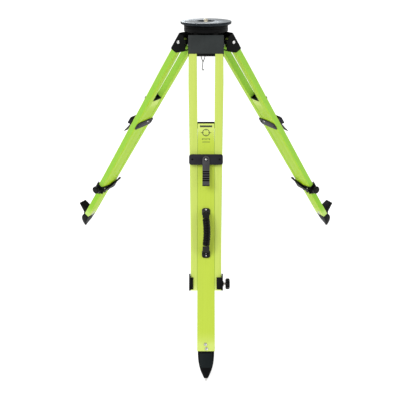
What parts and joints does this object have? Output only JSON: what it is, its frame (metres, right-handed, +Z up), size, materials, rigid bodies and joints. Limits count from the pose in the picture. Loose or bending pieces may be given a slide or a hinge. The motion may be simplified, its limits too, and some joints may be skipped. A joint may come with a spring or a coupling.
{
  "type": "surveyor tripod",
  "caption": "Surveyor tripod with a flat metal head, sliding fibreglass legs on hinges, quick clamps and pointed feet, standing spread.",
  "frame": {"origin": "middle of the footprint on the ground, under the head", "axes": "+Z up, -Y towards the leg with the carrying handle"},
  "size_m": [1.2486, 1.0822, 1.0278],
  "materials": {
    "fibreglass": "semi-gloss fluorescent yellow-green, faint lengthwise fibre",
    "machined_aluminium": "faced on a lathe, fine rings",
    "black_casting": "black powder coat on cast metal",
    "black_plastic": "moulded, fine grain",
    "black_rubber": "moulded with ribs",
    "zinc_steel": "zinc plated",
    "brass": "nickel plated brass thread"
  },
  "bodies": {
    "head": {"head_plate": "machined_aluminium", "head_body": "black_casting", "arm_pivot_bolt": "zinc_steel"},
    "screw_arm": {"screw_arm": "zinc_steel"},
    "screw_washer": {"screw_washer": "zinc_steel"},
    "fixing_screw": {"fixing_screw": "brass", "fixing_knob": "black_plastic"},
    "plumb_hook": {"plumb_hook": "zinc_steel"},
    "front_rails": {"front_rail_left": "fibreglass", "front_rail_right": "fibreglass", "front_hinge_casing": "black_plastic", "front_hinge_bolt": "zinc_steel", "front_bridge_outer": "black_casting", "front_bridge_inner": "black_casting", "front_strap_rivet": "zinc_steel", "front_clamp_bracket": "black_casting", "front_lever_pin": "zinc_steel"},
    "front_tube": {"front_sliding_tube": "fibreglass", "front_tube_cap": "black_plastic", "front_foot_shoe": "black_casting", "front_foot_spike": "zinc_steel", "front_handle_top": "black_plastic", "front_handle_bottom": "black_plastic", "front_handle_grip": "black_rubber"},
    "front_lever": {"front_clamp_lever": "black_casting"},
    "front_thumb_screw": {"front_thumb_screw": "black_plastic"},
    "front_strap": {"front_strap": "black_rubber"},
    "left_rails": {"left_rail_left": "fibreglass", "left_rail_right": "fibreglass", "left_hinge_casing": "black_plastic", "left_hinge_bolt": "zinc_steel", "left_bridge_outer": "black_casting", "left_bridge_inner": "black_casting", "left_strap_rivet": "zinc_steel", "left_clamp_bracket": "black_casting", "left_lever_pin": "zinc_steel"},
    "left_tube": {"left_sliding_tube": "fibreglass", "left_tube_cap": "black_plastic", "left_foot_shoe": "black_casting", "left_foot_spike": "zinc_steel"},
    "left_lever": {"left_clamp_lever": "black_casting"},
    "left_thumb_screw": {"left_thumb_screw": "black_plastic"},
    "left_strap": {"left_strap": "black_rubber"},
    "right_rails": {"right_rail_left": "fibreglass", "right_rail_right": "fibreglass", "right_hinge_casing": "black_plastic", "right_hinge_bolt": "zinc_steel", "right_bridge_outer": "black_casting", "right_bridge_inner": "black_casting", "right_strap_rivet": "zinc_steel", "right_clamp_bracket": "black_casting", "right_lever_pin": "zinc_steel"},
    "right_tube": {"right_sliding_tube": "fibreglass", "right_tube_cap": "black_plastic", "right_foot_shoe": "black_casting", "right_foot_spike": "zinc_steel"},
    "right_lever": {"right_clamp_lever": "black_casting"},
    "right_thumb_screw": {"right_thumb_screw": "black_plastic"},
    "right_strap": {"right_strap": "black_rubber"}
  },
  "joints": [
    {"name": "arm_swing", "type": "hinge", "parent": "head", "child": "screw_arm", "pos_m": [0, 0.20707, 0.9928], "axis": [0, 0, 1], "range_deg": [-20, 20]},
    {"name": "screw_shift", "type": "slide", "parent": "screw_arm", "child": "screw_washer", "axis": [0, 1, 0], "range_m": [-0.01, 0.01]},
    {"name": "screw_turn", "type": "hinge", "parent": "screw_washer", "child": "fixing_screw", "pos_m": [0, 0.16907, 0.9808], "axis": [0, 0, 1], "continuous": true},
    {"name": "hook_swing", "type": "hinge", "parent": "fixing_screw", "child": "plumb_hook", "pos_m": [-0.011, 0.16907, 0.9003], "axis": [1, 0, 0], "range_deg": [-30, 30]},
    {"name": "front_leg_spread", "type": "hinge", "parent": "head", "child": "front_rails", "pos_m": [0, 0.08847, 0.94838], "axis": [-1, 0, 0], "range_deg": [-33.2, 11]},
    {"name": "front_leg_extend", "type": "slide", "parent": "front_rails", "child": "front_tube", "axis": [0, -0.5475, -0.8368], "range_m": [-0.065, 0.47]},
    {"name": "front_lever_open", "type": "hinge", "parent": "front_rails", "child": "front_lever", "pos_m": [0.046, -0.34715, 0.24152], "axis": [0, -0.5475, -0.8368], "range_deg": [0, 100]},
    {"name": "front_thumb_turn", "type": "hinge", "parent": "front_rails", "child": "front_thumb_screw", "pos_m": [0.071, -0.36597, 0.25384], "axis": [1, 0, 0], "range_deg": [0, 360]},
    {"name": "front_strap_swing", "type": "hinge", "parent": "front_rails", "child": "front_strap", "pos_m": [0, -0.16605, 0.61419], "axis": [0, -0.8368, 0.5475], "range_deg": [-90, 90]},
    {"name": "left_leg_spread", "type": "hinge", "parent": "head", "child": "left_rails", "pos_m": [-0.0698, 0.20937, 0.94838], "axis": [0.5, 0.866, 0], "range_deg": [-33.9, 11]},
    {"name": "left_leg_extend", "type": "slide", "parent": "left_rails", "child": "left_tube", "axis": [-0.4831, 0.2789, -0.83], "range_m": [-0.065, 0.47]},
    {"name": "left_lever_open", "type": "hinge", "parent": "left_rails", "child": "left_lever", "pos_m": [-0.47757, 0.39168, 0.24694], "axis": [-0.4831, 0.2789, -0.83], "range_deg": [0, 100]},
    {"name": "left_thumb_turn", "type": "hinge", "parent": "left_rails", "child": "left_thumb_screw", "pos_m": [-0.50624, 0.37936, 0.25949], "axis": [-0.5, -0.866, 0], "range_deg": [0, 360]},
    {"name": "left_strap_swing", "type": "hinge", "parent": "left_rails", "child": "left_strap", "pos_m": [-0.29377, 0.33868, 0.61735], "axis": [-0.7188, 0.415, 0.5578], "range_deg": [-90, 90]},
    {"name": "right_leg_spread", "type": "hinge", "parent": "head", "child": "right_rails", "pos_m": [0.0698, 0.20937, 0.94838], "axis": [0.5, -0.866, 0], "range_deg": [-33.9, 11]},
    {"name": "right_leg_extend", "type": "slide", "parent": "right_rails", "child": "right_tube", "axis": [0.4831, 0.2789, -0.83], "range_m": [-0.065, 0.47]},
    {"name": "right_lever_open", "type": "hinge", "parent": "right_rails", "child": "right_lever", "pos_m": [0.47757, 0.39168, 0.24694], "axis": [-0.4831, -0.2789, 0.83], "range_deg": [0, 100]},
    {"name": "right_thumb_turn", "type": "hinge", "parent": "right_rails", "child": "right_thumb_screw", "pos_m": [0.50624, 0.37936, 0.25949], "axis": [0.5, -0.866, 0], "range_deg": [0, 360]},
    {"name": "right_strap_swing", "type": "hinge", "parent": "right_rails", "child": "right_strap", "pos_m": [0.29377, 0.33868, 0.61735], "axis": [0.7188, 0.415, 0.5578], "range_deg": [-90, 90]}
  ]
}
